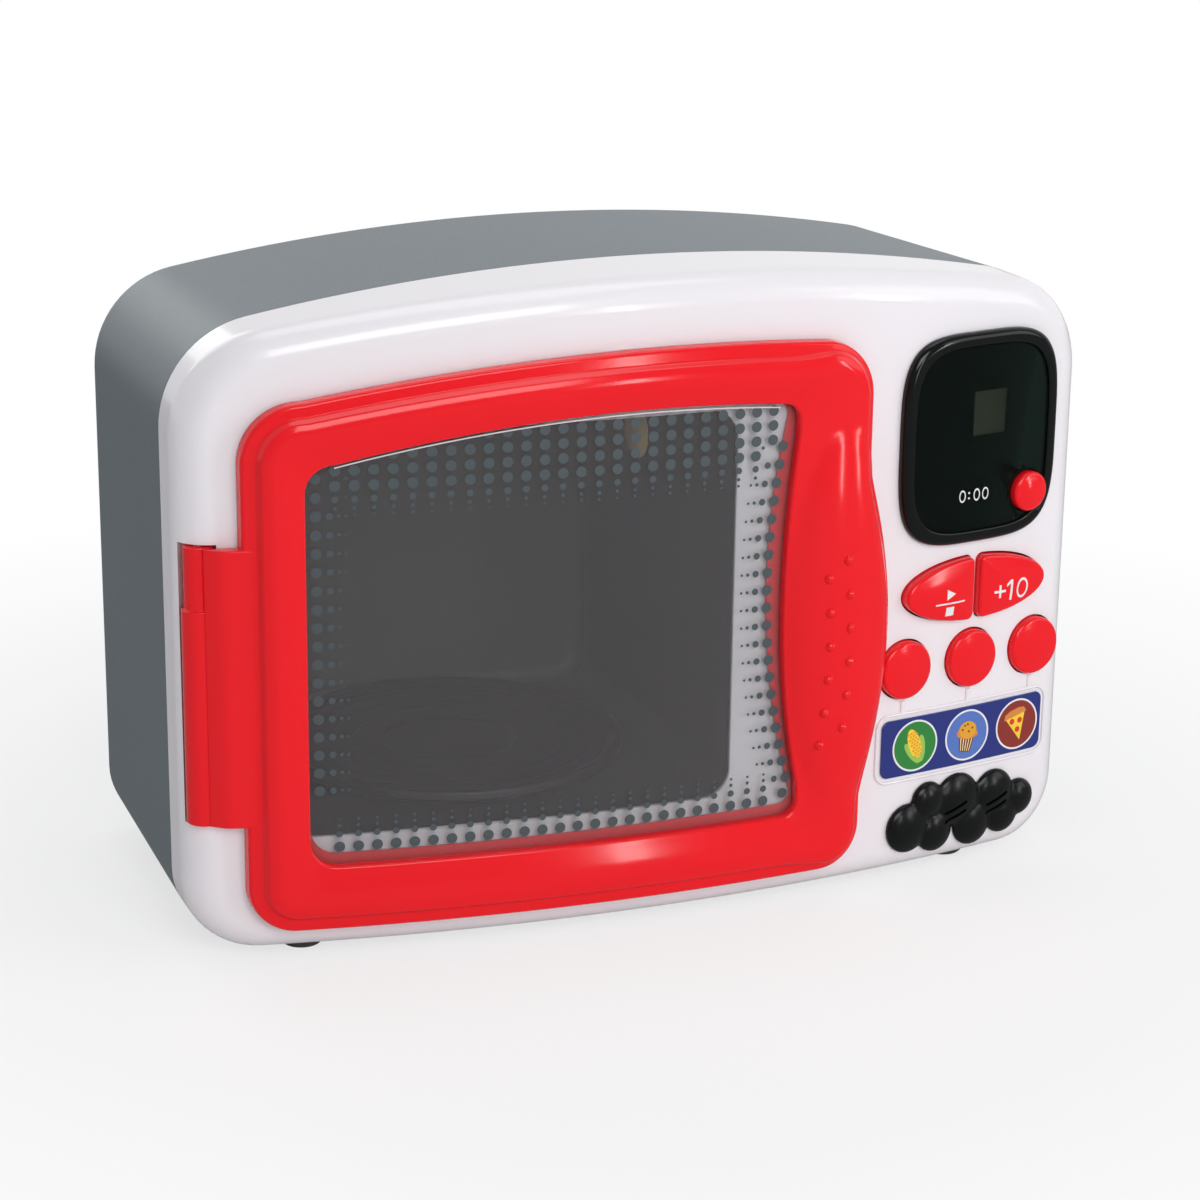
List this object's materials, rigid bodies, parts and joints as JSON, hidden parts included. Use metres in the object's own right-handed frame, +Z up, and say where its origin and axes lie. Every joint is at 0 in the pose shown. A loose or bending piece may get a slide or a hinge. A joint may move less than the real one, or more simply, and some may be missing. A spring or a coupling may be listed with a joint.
{
  "type": "toy microwave oven",
  "caption": "Toy microwave oven: a bowed two-part housing, a hinged door with a clear pane, a cavity with a turntable and lamp, a display, push buttons and a battery box at the back.",
  "frame": {"origin": "on the table, under the middle of the bounding box", "axes": "+X to the right seen from the front, +Y from the front to the back, +Z up; the door and panel face -Y"},
  "size_m": [0.295, 0.1516, 0.2038],
  "materials": {
    "white_plastic": "gloss",
    "grey_plastic": "satin",
    "dark_plastic": "satin",
    "charcoal_plastic": "satin",
    "red_plastic": "gloss",
    "black_plastic": "gloss",
    "label_print": "printed",
    "grey_rubber": "matt",
    "steel": "bright",
    "board_green": "satin",
    "cell_wrap": "gloss",
    "clear_plastic": "clear",
    "smoked_plastic": "clear",
    "amber_plastic": "clear",
    "lcd_glass": "gloss"
  },
  "bodies": {
    "housing": {"front_shell": "white_plastic", "rear_shell": "grey_plastic", "battery_door": "grey_plastic", "battery_box": "grey_plastic", "cavity_liner": "dark_plastic", "speaker": "charcoal_plastic", "display_bezel": "black_plastic", "speaker_cover": "black_plastic", "icon_label": "label_print", "foot_1": "grey_rubber", "foot_2": "grey_rubber", "foot_3": "grey_rubber", "foot_4": "grey_rubber", "hinge_pin": "steel", "battery_door_screw": "steel", "spring_contacts": "steel", "plate_contacts": "steel", "case_screw_1": "steel", "case_screw_2": "steel", "case_screw_3": "steel", "case_screw_4": "steel", "board_screw_1": "steel", "board_screw_2": "steel", "board_screw_3": "steel", "board_screw_4": "steel", "circuit_board": "board_green", "cell_1": "cell_wrap", "cell_2": "cell_wrap", "cell_3": "cell_wrap", "lamp_led": "clear_plastic", "display_lens": "smoked_plastic", "lamp_lens": "amber_plastic", "lcd_panel": "lcd_glass"},
    "door": {"door_frame": "red_plastic", "door_window": "clear_plastic"},
    "turntable_body": {"turntable": "charcoal_plastic", "turntable_clip": "steel"},
    "start_stop": {"start_stop_button": "red_plastic"},
    "add_time": {"add_time_button": "red_plastic"},
    "reset": {"reset_button": "red_plastic"},
    "left_food": {"left_food_button": "red_plastic"},
    "middle_food": {"middle_food_button": "red_plastic"},
    "right_food": {"right_food_button": "red_plastic"}
  },
  "joints": [
    {"name": "door_hinge", "type": "hinge", "parent": "housing", "child": "door", "pos_m": [-0.141, -0.04401, 0.0885], "axis": [0, 0, -1], "range_deg": [0, 110]},
    {"name": "turntable_spin", "type": "hinge", "parent": "housing", "child": "turntable_body", "pos_m": [-0.0495, 0.00029, 0.045], "axis": [0, 0, 1], "continuous": true},
    {"name": "start_stop_press", "type": "slide", "parent": "housing", "child": "start_stop", "axis": [-0.1783, 0.984, 0], "range_m": [0, 0.002], "stiffness_N_per_m": 400, "springref_m": -0.0005},
    {"name": "add_time_press", "type": "slide", "parent": "housing", "child": "add_time", "axis": [-0.1783, 0.984, 0], "range_m": [0, 0.002], "stiffness_N_per_m": 400, "springref_m": -0.0005},
    {"name": "reset_press", "type": "slide", "parent": "housing", "child": "reset", "axis": [-0.1783, 0.984, 0], "range_m": [0, 0.002], "stiffness_N_per_m": 400, "springref_m": -0.0005},
    {"name": "left_food_press", "type": "slide", "parent": "housing", "child": "left_food", "axis": [-0.1783, 0.984, 0], "range_m": [0, 0.002], "stiffness_N_per_m": 400, "springref_m": -0.0005},
    {"name": "middle_food_press", "type": "slide", "parent": "housing", "child": "middle_food", "axis": [-0.1783, 0.984, 0], "range_m": [0, 0.002], "stiffness_N_per_m": 400, "springref_m": -0.0005},
    {"name": "right_food_press", "type": "slide", "parent": "housing", "child": "right_food", "axis": [-0.1783, 0.984, 0], "range_m": [0, 0.002], "stiffness_N_per_m": 400, "springref_m": -0.0005}
  ]
}
